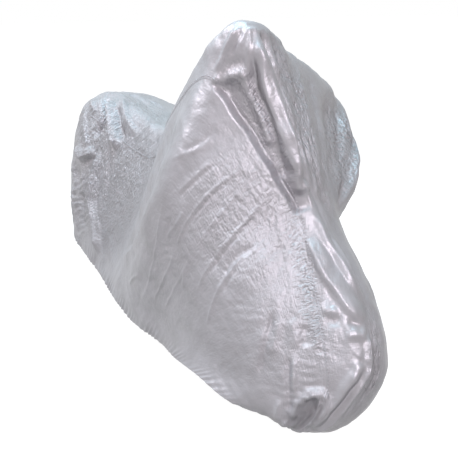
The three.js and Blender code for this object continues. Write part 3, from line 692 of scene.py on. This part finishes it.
def value_noise(points, seed):
    """Smooth noise from -1 to 1 at each point, in a lattice of unit cells."""
    cell = np.floor(points).astype(np.int64)
    t = points - cell
    t = t * t * (3 - 2 * t)
    total = np.zeros(points.shape[:-1])
    dims = points.shape[-1]
    for corner in range(2**dims):
        offset = [(corner >> axis) & 1 for axis in range(dims)]
        key = np.full(points.shape[:-1], seed * HASH_SEED_STEP + HASH_START, dtype=np.int64)
        weight = np.ones(points.shape[:-1])
        for axis in range(dims):
            key = (key ^ (cell[..., axis] + offset[axis]) * HASH_PRIMES[axis]) * HASH_MIX
            key = (key ^ (key >> 15)) & HASH_LIMIT
            weight = weight * (t[..., axis] if offset[axis] else 1 - t[..., axis])
        total += weight * (key / (HASH_LIMIT // 2) - 1)
    return total


def smooth_path(path):
    """A smooth path through a few places, in about four steps from one to the next."""
    counts = np.linspace(0, len(path) - 1, 4 * len(path) + 3)
    return spline_weights(counts, len(path)) @ run_out(np.array(path, dtype=float))


def unit_sizes(places):
    """How long one unit along and one unit across are at some places, in metres."""
    along = np.clip(places[:, 0], NEARBY, LAST_SECTION - NEARBY)
    across = np.clip(places[:, 1], NEARBY - HEM_LINE, HEM_LINE - NEARBY)
    lengthways = base_points(along + NEARBY, across) - base_points(along - NEARBY, across)
    crossways = base_points(along, across + NEARBY) - base_points(along, across - NEARBY)
    return [np.linalg.norm(way, axis=1) / (2 * NEARBY) for way in (lengthways, crossways)]


def nearest_on_line(points, normal, line):
    """For each point its distance from a line, how far along the line that is, and its side of it."""
    best = np.full(points.shape[:2], np.inf)
    travel = np.zeros(points.shape[:2])
    side = np.zeros(points.shape[:2])
    for start, end, done in zip(line[:-1], line[1:], travelled(line)[:-1]):
        span = end - start
        size = max(span @ span, 1e-12)
        share = np.clip(((points - start) @ span) / size, 0, 1)
        away = points - start - share[..., None] * span
        distance = np.linalg.norm(away, axis=2)
        nearer = distance < best
        best = np.where(nearer, distance, best)
        travel = np.where(nearer, done + share * math.sqrt(size), travel)
        crossing = np.einsum("ijk,ijk->ij", away, np.cross(normal, span))
        side = np.where(nearer, np.sign(crossing), side)
    return best, travel, side


def raise_fold(panel, fold, phase):
    """Adds one fold to the panel's heights. Its crest wanders and its height varies a little."""
    places = smooth_path(fold.path)
    reach = fold.reach * MM
    margins = [reach * (1 + abs(fold.lean)) / size.min() for size in unit_sizes(places)]
    window = panel.window(places.min(axis=0), places.max(axis=0), *margins)
    points = panel.base[window]
    if points.size == 0:
        return
    line = base_points(places[:, 0], places[:, 1])
    away, travel, side = nearest_on_line(points, panel.normal[window], line)
    total = max(travelled(line)[-1], 1e-6)
    beat = travel / WANDER_LENGTH + phase * 9.7
    away = away + reach * 0.05 * np.sin(beat * 1.9 + 1.3) * side
    t = np.clip(np.abs(away) / (reach * (1 + fold.lean * side)), 0, 1)
    rounded = (1 - t * t) ** 2
    sharp = (1 - t) ** 1.3
    ends = np.clip(np.minimum(travel, total - travel) / (fold.fade * total), 0, 1)
    ends = ends * ends * (3 - 2 * ends)
    uneven = 1 + 0.1 * np.sin(beat) + 0.08 * np.sin(beat * 0.43 + 2)
    panel.height[window] += fold.height * MM * ends * uneven * (rounded + (sharp - rounded) * fold.crisp)


def pleated(phase):
    """A wave of straight slopes from -1 to 1, with sharp crests and dips one unit apart."""
    return 4 * np.abs(phase - np.floor(phase) - 0.5) - 1


def raise_grain(panel, grain, seed):
    """Adds the small creases of one oval to the panel's heights."""
    (along, across), (reach_along, reach_across) = grain.at, grain.spread
    low, high = (along - reach_along, across - reach_across), (along + reach_along, across + reach_across)
    window = panel.window(low, high)
    points = panel.base[window]
    if points.size == 0:
        return
    corners = base_points(
        np.array([along - NEARBY, along + NEARBY, along, along]),
        np.array([across, across, across - NEARBY, across + NEARBY]),
    )
    lengthways = unit(corners[1] - corners[0])
    normal = unit(np.cross(corners[3] - corners[2], lengthways))
    heading = rotation(normal, math.radians(grain.angle)) @ lengthways
    beside = np.cross(normal, heading)
    local = points - corners.mean(axis=0)
    long, short = grain.long * MM, grain.short * MM
    places = np.stack([local @ heading / long, local @ beside / short, local @ normal / long], axis=-1)
    bend = value_noise(places * np.array([0.9, 0.25, 0.9]), seed)
    bend = bend + 0.5 * value_noise(places * np.array([2.1, 0.6, 2.1]), seed + 1)
    strength = 0.5 + value_noise(places * np.array([1.1, 0.8, 1.1]) + 5.1, seed + 2)
    creases = pleated(places[..., 1] + 0.4 * bend) * strength
    patchy = 0.65 + 0.6 * value_noise(local / PATCHY_SIZE, seed + 5)
    share = in_oval(panel.along[window[0], None], panel.across[None, window[1]], grain)
    panel.height[window] += grain.height * MM * 0.7 * creases * np.sqrt(share) * patchy


def crumple(points, size, seed):
    """Faint creases in many directions with flat facets between them, from about -1 to 1."""
    random = np.random.default_rng(seed)
    total = np.zeros(points.shape[:-1])
    for step in range(CRUMPLE_HEADINGS):
        heading = unit(random.normal(size=3))
        spacing = size * (1 + 0.45 * step)
        bend = value_noise(points / (spacing * 2.2), seed + 20 + step)
        reach = np.clip(value_noise(points / (spacing * 1.6), seed + 40 + step) * 1.6 + 0.35, 0, 1)
        total += 0.42 * pleated(points @ heading / spacing + 0.5 * bend) * reach * (1 + 0.25 * step) / 2
    return total


def gather_hem(panel, sizes):
    """Gathers the cloth where an edge of the panel is a hem."""
    edges = (
        (panel.across[0] == -HEM_LINE, panel.base[:, :1]),
        (panel.across[-1] == HEM_LINE, panel.base[:, -1:]),
        (panel.along[0] == 0, panel.base[:1]),
        (panel.along[-1] == LAST_SECTION, panel.base[-1:]),
    )
    for is_hem, edge in edges:
        if is_hem:
            beat = travelled(edge.reshape(-1, 3)).reshape(edge.shape[:2]) / GATHER_SPACING * math.tau
            wave = np.sin(beat + 1.7 * np.sin(beat * 0.21)) * (0.6 + 0.4 * np.sin(beat * 0.13 + 1))
            away = np.linalg.norm(panel.base - edge, axis=2)
            panel.height += 0.5 * sizes.gather * np.exp(-((away / GATHER_REACH) ** 2)) * wave


def fold_panel(panel, sizes):
    """Raises every fold and crinkle on a panel."""
    for phase, fold in enumerate(MAIN_FOLDS + STORAGE_CREASES):
        raise_fold(panel, fold, phase)
    for number, grain in enumerate(GRAINS):
        raise_grain(panel, grain, sizes.seed + 10 * number)
    panel.height += sizes.crinkle * crumple(panel.base, sizes.crinkle_size, sizes.seed)
    gather_hem(panel, sizes)


# ---------------------------------------------------------------- meshes


def dips(outer, direction):
    """At each second point, how deep the face dips between it and the next ones in its column."""
    ends = outer[::2, ::2]
    middle = 0.5 * (ends[:-1] + ends[1:])
    dip = np.einsum("ijk,ijk->ij", middle - outer[1::2, ::2], direction[1::2, ::2])
    deepest = np.zeros(ends.shape[:2])
    deepest[:-1] = np.maximum(deepest[:-1], dip)
    deepest[1:] = np.maximum(deepest[1:], dip)
    return deepest


def inner_face(outer, thickness):
    """The inner face, with every second point of the outer one and clear of its dips."""
    direction = outward(outer)
    turned = dips(outer.swapaxes(0, 1), direction.swapaxes(0, 1)).T
    depth = thickness + np.maximum(dips(outer, direction), turned)
    return outer[::2, ::2] - direction[::2, ::2] * depth[..., None]


def rim(index):
    """The numbers of a grid's border points, once around."""
    return np.concatenate([index[0, :-1], index[:-1, -1], index[-1, :0:-1], index[:0:-1, 0]])


def sheet_faces(outer, inner):
    """The faces of a closed sheet from the numbers of its points: its two sides, then its rim."""
    sides = np.concatenate([
        np.stack([outer[:-1, :-1], outer[:-1, 1:], outer[1:, 1:], outer[1:, :-1]], -1).reshape(-1, 4),
        np.stack([inner[:-1, :-1], inner[1:, :-1], inner[1:, 1:], inner[:-1, 1:]], -1).reshape(-1, 4),
    ])
    around = rim(outer)
    first, middle, last = around[::2], around[1::2], np.roll(around[::2], -1)
    below = rim(inner)
    after = np.roll(below, -1)
    edge = np.concatenate([
        np.stack([first, below, middle], -1),
        np.stack([middle, below, after], -1),
        np.stack([middle, after, last], -1),
    ])
    return sides, edge


def patch_strength(panel, kind):
    """How strong one kind of fine crease is at each place of a panel."""
    total = np.full((len(panel.along), len(panel.across)), FAINT)
    for patch in PATCHES:
        total += getattr(patch, kind) * in_oval(panel.along[:, None], panel.across[None, :], patch)
    return total


def both_faces(values):
    """Values of the outer face's points and then of the inner face's, as one list."""
    flat = values.shape[2:]
    return np.concatenate([values.reshape(-1, *flat), values[::2, ::2].reshape(-1, *flat)])


def sheet_object(name, panel, thickness):
    """A closed sheet from a panel: its outer face at full detail and its inner face at half of that."""
    outer = panel.folded()
    inner = inner_face(outer, thickness)
    outer_index = np.arange(outer.shape[0] * outer.shape[1]).reshape(outer.shape[:2])
    inner_index = outer_index.size + np.arange(inner.shape[0] * inner.shape[1]).reshape(inner.shape[:2])
    sides, edge = sheet_faces(outer_index, inner_index)
    mesh = bpy.data.meshes.new(name)
    points = np.concatenate([outer.reshape(-1, 3), inner.reshape(-1, 3)])
    mesh.from_pydata(points.tolist(), [], sides.tolist() + edge.tolist())
    mesh.update()
    corners = np.zeros(len(mesh.loops), dtype=np.int32)
    mesh.loops.foreach_get("vertex_index", corners)
    middle_row, middle_column = len(panel.along) // 2, len(panel.across) // 2
    flat = np.meshgrid(travelled(panel.base[middle_row]), travelled(panel.base[:, middle_column]))
    places = both_faces(np.stack(flat, -1))
    layer = mesh.uv_layers.new(name="cloth")
    layer.data.foreach_set("uv", places[corners].astype(np.float32).ravel())
    for kind in ("crossways", "lengthways", "crumpled"):
        values = both_faces(patch_strength(panel, kind)).astype(np.float32)
        mesh.attributes.new(kind, "FLOAT", "POINT").data.foreach_set("value", values)
    smooth = np.zeros(len(mesh.polygons), dtype=bool)
    smooth[: len(sides)] = True
    mesh.polygons.foreach_set("use_smooth", smooth)
    piece = bpy.data.objects.new(name, mesh)
    bpy.context.scene.collection.objects.link(piece)
    return piece


def make_panel(name, start, end, cell):
    """One cut panel of the cover between two lines. A side panel runs on under the centre panel."""
    sizes = bpy.context.scene.cover_cloth
    is_side = abs(start) != abs(end)
    if is_side and end < 0:
        end += LAP_WIDTH
    elif is_side:
        start -= LAP_WIDTH
    along = even_cells(even_places(0, LAST_SECTION, cell, np.linspace(start, end, 9), "along"))
    rows = np.linspace(0.5, LAST_SECTION - 0.5, LAST_SECTION + 1)
    across = even_cells(even_places(start, end, cell, rows, "across"))
    inset = [across[:1] + EDGE_CELL, across[-1:] - EDGE_CELL]
    panel = Panel(along, np.concatenate([across[:1], inset[0], across[1:-1], inset[1], across[-1:]]))
    fold_panel(panel, sizes)
    if is_side:
        below = np.clip((SEAM_LINE + LAP_WIDTH - np.abs(panel.across)) / LAP_WIDTH, 0, 1)
        panel.height -= (sizes.thickness + sizes.lap_gap) * below[None, :]
    else:
        panel.height[:, [0, -1]] -= EDGE_PRESS * sizes.thickness
    piece = sheet_object(name, panel, sizes.thickness)
    piece.data.materials.append(cloth_material())
    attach(piece, "root")
    return piece


# ---------------------------------------------------------------- materials


def node(tree, kind, **values):
    """A shader node with its settings, and its inputs where a name is one, with _ for a space."""
    made = tree.nodes.new(kind)
    for key, value in values.items():
        if hasattr(made, key):
            setattr(made, key, value)
        else:
            made.inputs[key.replace("_", " ")].default_value = value
    return made


def empty_tree(holder):
    """The emptied node tree of a new material or world."""
    holder.use_nodes = True
    holder.node_tree.nodes.clear()
    return holder.node_tree


def cloth_material():
    """The one material of the cloth and its stitches."""
    return bpy.data.materials.get(CLOTH_MATERIAL) or new_cloth_material()


def new_cloth_material():
    """Woven cloth with a silver coating: semi-gloss, slightly uneven, creased."""
    sizes = bpy.context.scene.cover_cloth
    material = bpy.data.materials.new(CLOTH_MATERIAL)
    tree = empty_tree(material)
    link = tree.links.new
    place = node(tree, "ShaderNodeTexCoord")
    out = node(tree, "ShaderNodeOutputMaterial")
    shader = node(tree, "ShaderNodeBsdfPrincipled", Metallic=0.36, Roughness=0.4, Specular_IOR_Level=0.2)
    link(shader.outputs[0], out.inputs[0])
    patches = node(tree, "ShaderNodeTexNoise", Scale=9.0, Detail=5.0, Roughness=0.6)
    link(place.outputs["Object"], patches.inputs["Vector"])
    ramp = node(tree, "ShaderNodeMapRange", From_Min=0.3, From_Max=0.6)
    link(patches.outputs["Fac"], ramp.inputs["Value"])
    mix = node(tree, "ShaderNodeMix", data_type="RGBA")
    for socket, colour in zip(MIX_COLOUR_INPUTS, (sizes.shade, sizes.colour)):
        mix.inputs[socket].default_value = (*colour, 1)
    link(ramp.outputs["Result"], mix.inputs["Factor"])
    link(mix.outputs[MIX_COLOUR_OUTPUT], shader.inputs["Base Color"])
    total = crease_texture(tree, place.outputs["Object"], "crumpled", (36, 36, 36), 0.8 * sizes.fine_height)
    for kind, scale in (("crossways", (24, 95, 1)), ("lengthways", (95, 24, 1))):
        height = crease_texture(tree, place.outputs["UV"], kind, scale, sizes.fine_height)
        add = node(tree, "ShaderNodeMath", operation="ADD")
        link(total, add.inputs[0])
        link(height, add.inputs[1])
        total = add.outputs[0]
    bump = node(tree, "ShaderNodeBump", Strength=1.0, Distance=1.0)
    link(total, bump.inputs["Height"])
    link(bump.outputs["Normal"], shader.inputs["Normal"])
    return material


def crease_texture(tree, place, kind, scale, height):
    """Fine creases whose strength follows one of the mesh's attributes, as a height in metres."""
    link = tree.links.new
    stretch = node(tree, "ShaderNodeMapping", Scale=scale)
    link(place, stretch.inputs["Vector"])
    bend = node(tree, "ShaderNodeTexNoise", Scale=0.6, Detail=2.0)
    link(stretch.outputs[0], bend.inputs["Vector"])
    shift = node(tree, "ShaderNodeVectorMath", operation="MULTIPLY_ADD")
    shift.inputs[1].default_value = (0.4, 0.4, 0.4)
    link(bend.outputs["Color"], shift.inputs[0])
    link(stretch.outputs[0], shift.inputs[2])
    if kind == "crumpled":
        fold = node(
            tree, "ShaderNodeTexVoronoi", distance="CHEBYCHEV", Scale=1.0, Detail=1.0, Roughness=0.6
        )
        link(shift.outputs[0], fold.inputs["Vector"])
    else:
        ridges = node(tree, "ShaderNodeTexNoise", Scale=1.0, Detail=3.0, Roughness=0.5)
        link(shift.outputs[0], ridges.inputs["Vector"])
        centre = node(tree, "ShaderNodeMath", operation="SUBTRACT")
        centre.inputs[1].default_value = 0.5
        link(ridges.outputs["Fac"], centre.inputs[0])
        fold = node(tree, "ShaderNodeMath", operation="ABSOLUTE")
        link(centre.outputs[0], fold.inputs[0])
    strength = node(tree, "ShaderNodeAttribute", attribute_name=kind)
    scaled = node(tree, "ShaderNodeMath", operation="MULTIPLY")
    link(fold.outputs[0], scaled.inputs[0])
    link(strength.outputs["Fac"], scaled.inputs[1])
    metres = node(tree, "ShaderNodeMath", operation="MULTIPLY")
    metres.inputs[1].default_value = -height
    link(scaled.outputs[0], metres.inputs[0])
    return metres.outputs[0]


def seen_directly(tree):
    """One for what the camera, a reflection or a clear surface shows, and nought for its light."""
    path = node(tree, "ShaderNodeLightPath")
    total = path.outputs["Is Camera Ray"]
    for name in ("Is Glossy Ray", "Is Transmission Ray"):
        shown = node(tree, "ShaderNodeMath", operation="MAXIMUM")
        tree.links.new(total, shown.inputs[0])
        tree.links.new(path.outputs[name], shown.inputs[1])
        total = shown.outputs[0]
    return total


def floor_material():
    """A floor that looks white and keeps the cover's shadow."""
    material = bpy.data.materials.new("pale_floor")
    tree = empty_tree(material)
    link = tree.links.new
    out = node(tree, "ShaderNodeOutputMaterial")
    diffuse = node(tree, "ShaderNodeBsdfDiffuse", Color=(*bpy.context.scene.cover_stage.floor, 1))
    glow = node(tree, "ShaderNodeEmission")
    link(seen_directly(tree), glow.inputs["Strength"])
    add = node(tree, "ShaderNodeAddShader")
    link(diffuse.outputs[0], add.inputs[0])
    link(glow.outputs[0], add.inputs[1])
    link(add.outputs[0], out.inputs[0])
    return material


# ---------------------------------------------------------------- stitches


def stitch_tree():
    """A Geometry Nodes tree that lays a stitch at each step along a line."""
    tree = bpy.data.node_groups.new("seam_stitches", "GeometryNodeTree")
    tree.interface.new_socket("Geometry", in_out="INPUT", socket_type="NodeSocketGeometry")
    for name in ("Spacing", "Length", "Width"):
        tree.interface.new_socket(name, in_out="INPUT", socket_type="NodeSocketFloat")
    tree.interface.new_socket("Geometry", in_out="OUTPUT", socket_type="NodeSocketGeometry")
    link = tree.links.new
    given = node(tree, "NodeGroupInput")
    result = node(tree, "NodeGroupOutput")
    curve = node(tree, "GeometryNodeMeshToCurve")
    link(given.outputs["Geometry"], curve.inputs["Mesh"])
    steps = node(tree, "GeometryNodeResampleCurve", mode="LENGTH")
    link(curve.outputs["Curve"], steps.inputs["Curve"])
    link(given.outputs["Spacing"], steps.inputs["Length"])
    bead = node(tree, "GeometryNodeMeshUVSphere", Segments=8, Rings=5, Radius=0.5)
    shape = node(tree, "ShaderNodeCombineXYZ")
    link(given.outputs["Length"], shape.inputs["X"])
    link(given.outputs["Width"], shape.inputs["Y"])
    link(given.outputs["Width"], shape.inputs["Z"])
    heading = node(tree, "GeometryNodeInputTangent")
    turn = node(tree, "FunctionNodeAlignRotationToVector", axis="X")
    link(heading.outputs["Tangent"], turn.inputs["Vector"])
    laid = node(tree, "GeometryNodeInstanceOnPoints")
    link(steps.outputs["Curve"], laid.inputs["Points"])
    link(bead.outputs["Mesh"], laid.inputs["Instance"])
    link(turn.outputs["Rotation"], laid.inputs["Rotation"])
    link(shape.outputs["Vector"], laid.inputs["Scale"])
    real = node(tree, "GeometryNodeRealizeInstances")
    link(laid.outputs["Instances"], real.inputs["Geometry"])
    finish = node(tree, "GeometryNodeSetMaterial", Material=cloth_material())
    link(real.outputs["Geometry"], finish.inputs["Geometry"])
    link(finish.outputs["Geometry"], result.inputs["Geometry"])
    return tree


def seam_points(side, sizes):
    """Points on the folded cloth along one seam, a little in from the centre panel's edge."""
    line = side * (SEAM_LINE - STITCH_INSET)
    along = even_places(0.1, LAST_SECTION - 0.1, 2 * sizes.cell, np.array([line]), "along")
    panel = Panel(along, line + np.array([-STITCH_INSET / 2, 0, STITCH_INSET / 2]))
    fold_panel(panel, sizes)
    return panel.folded()[:, 1]


def sew_seam(context, name, side, tree):
    """One row of stitches along a seam, as a plain mesh."""
    sizes = context.scene.cover_cloth
    points = seam_points(side, sizes)
    guide = bpy.data.meshes.new(name + "_line")
    guide.from_pydata(points.tolist(), [(step, step + 1) for step in range(len(points) - 1)], [])
    carrier = bpy.data.objects.new(name + "_line", guide)
    context.scene.collection.objects.link(carrier)
    modifier = carrier.modifiers.new("stitches", "NODES")
    modifier.node_group = tree
    wanted = {"Spacing": sizes.stitch_spacing, "Length": sizes.stitch_length, "Width": sizes.stitch_width}
    for item in tree.interface.items_tree:
        if item.in_out == "INPUT" and item.name in wanted:
            modifier[item.identifier] = wanted[item.name]
    ready = carrier.evaluated_get(context.evaluated_depsgraph_get())
    mesh = bpy.data.meshes.new_from_object(ready)
    bpy.data.objects.remove(carrier)
    if not mesh.polygons:
        raise RuntimeError(name + " came out empty")
    row = bpy.data.objects.new(name, mesh)
    context.scene.collection.objects.link(row)
    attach(row, "root")


# ---------------------------------------------------------------- stage


def aim(holder, place, target):
    """Puts a camera or lamp at a place, facing a target."""
    holder.location = place
    holder.rotation_mode = "QUATERNION"
    holder.rotation_quaternion = (Vector(target) - Vector(place)).to_track_quat("-Z", "Y")


def add_floor(scene):
    """A wide floor under the wheels."""
    mesh = bpy.data.meshes.new("floor")
    corners = [(-1, -1), (1, -1), (1, 1), (-1, 1)]
    points = [(x * FLOOR_HALF_WIDTH, y * FLOOR_HALF_WIDTH, FLOOR_HEIGHT) for x, y in corners]
    mesh.from_pydata(points, [], [(0, 1, 2, 3)])
    mesh.materials.append(floor_material())
    floor = bpy.data.objects.new("floor", mesh)
    scene.collection.objects.link(floor)


def add_lamp(scene, lamp):
    """One square soft lamp."""
    light = bpy.data.lights.new(lamp.name, "AREA")
    light.shape = "SQUARE"
    light.size = lamp.size
    light.energy = lamp.power
    light.color = lamp.colour
    holder = bpy.data.objects.new(lamp.name, light)
    scene.collection.objects.link(holder)
    aim(holder, lamp.place, lamp.target)


def add_world(scene):
    """A plain grey surround that looks white behind the cover and in its gloss."""
    scene.world = bpy.data.worlds.new("surround")
    tree = empty_tree(scene.world)
    link = tree.links.new
    out = node(tree, "ShaderNodeOutputWorld")
    soft = node(tree, "ShaderNodeBackground", Color=(0.17, 0.17, 0.165, 1))
    white = node(tree, "ShaderNodeBackground", Color=(1, 1, 1, 1))
    mix = node(tree, "ShaderNodeMixShader")
    link(seen_directly(tree), mix.inputs[0])
    link(soft.outputs[0], mix.inputs[1])
    link(white.outputs[0], mix.inputs[2])
    link(mix.outputs[0], out.inputs[0])


def add_camera(scene):
    """The camera, at the front right and a little above."""
    sizes = scene.cover_stage
    camera = bpy.data.cameras.new("camera")
    camera.sensor_width = 36
    camera.lens = sizes.lens
    holder = bpy.data.objects.new("camera", camera)
    scene.collection.objects.link(holder)
    aim(holder, sizes.camera, sizes.target)
    scene.camera = holder


# ---------------------------------------------------------------- operators and panel


class COVER_OT_panels(bpy.types.Operator):
    """Make the three sewn panels of draped cloth"""

    bl_idname = "cover.panels"
    bl_label = "Cloth panels"

    def execute(self, context):
        cell = context.scene.cover_cloth.cell
        right = make_panel("cloth_right", -HEM_LINE, -SEAM_LINE, cell)
        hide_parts("side_panel_right")
        centre = make_panel("cloth_centre", -SEAM_LINE, SEAM_LINE, cell * CENTRE_CELLS)
        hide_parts("centre_panel")
        left = make_panel("cloth_left", SEAM_LINE, HEM_LINE, cell * LEFT_CELLS)
        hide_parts("side_panel_left")
        return {"FINISHED"}


class COVER_OT_stitches(bpy.types.Operator):
    """Sew a row of stitches along both seams"""

    bl_idname = "cover.stitches"
    bl_label = "Seam stitches"

    def execute(self, context):
        tree = stitch_tree()
        sew_seam(context, "stitches_right", -1, tree)
        sew_seam(context, "stitches_left", 1, tree)
        return {"FINISHED"}


class COVER_OT_stage(bpy.types.Operator):
    """Make the floor, the lamps, the world and the camera"""

    bl_idname = "cover.stage"
    bl_label = "Stage"

    def execute(self, context):
        add_floor(context.scene)
        for lamp in LAMPS:
            add_lamp(context.scene, lamp)
        add_world(context.scene)
        add_camera(context.scene)
        context.scene.view_settings.view_transform = "Standard"
        return {"FINISHED"}


class COVER_PT_sidebar(bpy.types.Panel):
    """Lists the cover's sizes and the steps that make it"""

    bl_idname = "COVER_PT_sidebar"
    bl_label = "Motorcycle cover"
    bl_space_type = "VIEW_3D"
    bl_region_type = "UI"
    bl_category = "Cover"

    def draw(self, context):
        for group in (context.scene.cover_cloth, context.scene.cover_stage):
            box = self.layout.box()
            for name in group.__annotations__:
                box.prop(group, name)
        for operator in OPERATORS:
            self.layout.operator(operator.bl_idname)


OPERATORS = (COVER_OT_panels, COVER_OT_stitches, COVER_OT_stage)
CLASSES = (ClothSizes, StageSizes, *OPERATORS, COVER_PT_sidebar)


def register():
    """Registers the classes and the sizes."""
    for kind in CLASSES:
        bpy.utils.register_class(kind)
    bpy.types.Scene.cover_cloth = PointerProperty(type=ClothSizes)
    bpy.types.Scene.cover_stage = PointerProperty(type=StageSizes)


def unregister():
    """Removes what register added."""
    del bpy.types.Scene.cover_stage
    del bpy.types.Scene.cover_cloth
    for kind in reversed(CLASSES):
        bpy.utils.unregister_class(kind)


def main():
    """Makes the cover and its stage."""
    register()
    bpy.ops.cover.panels()
    bpy.ops.cover.stitches()
    bpy.ops.cover.stage()


if __name__ == "__main__":
    main()
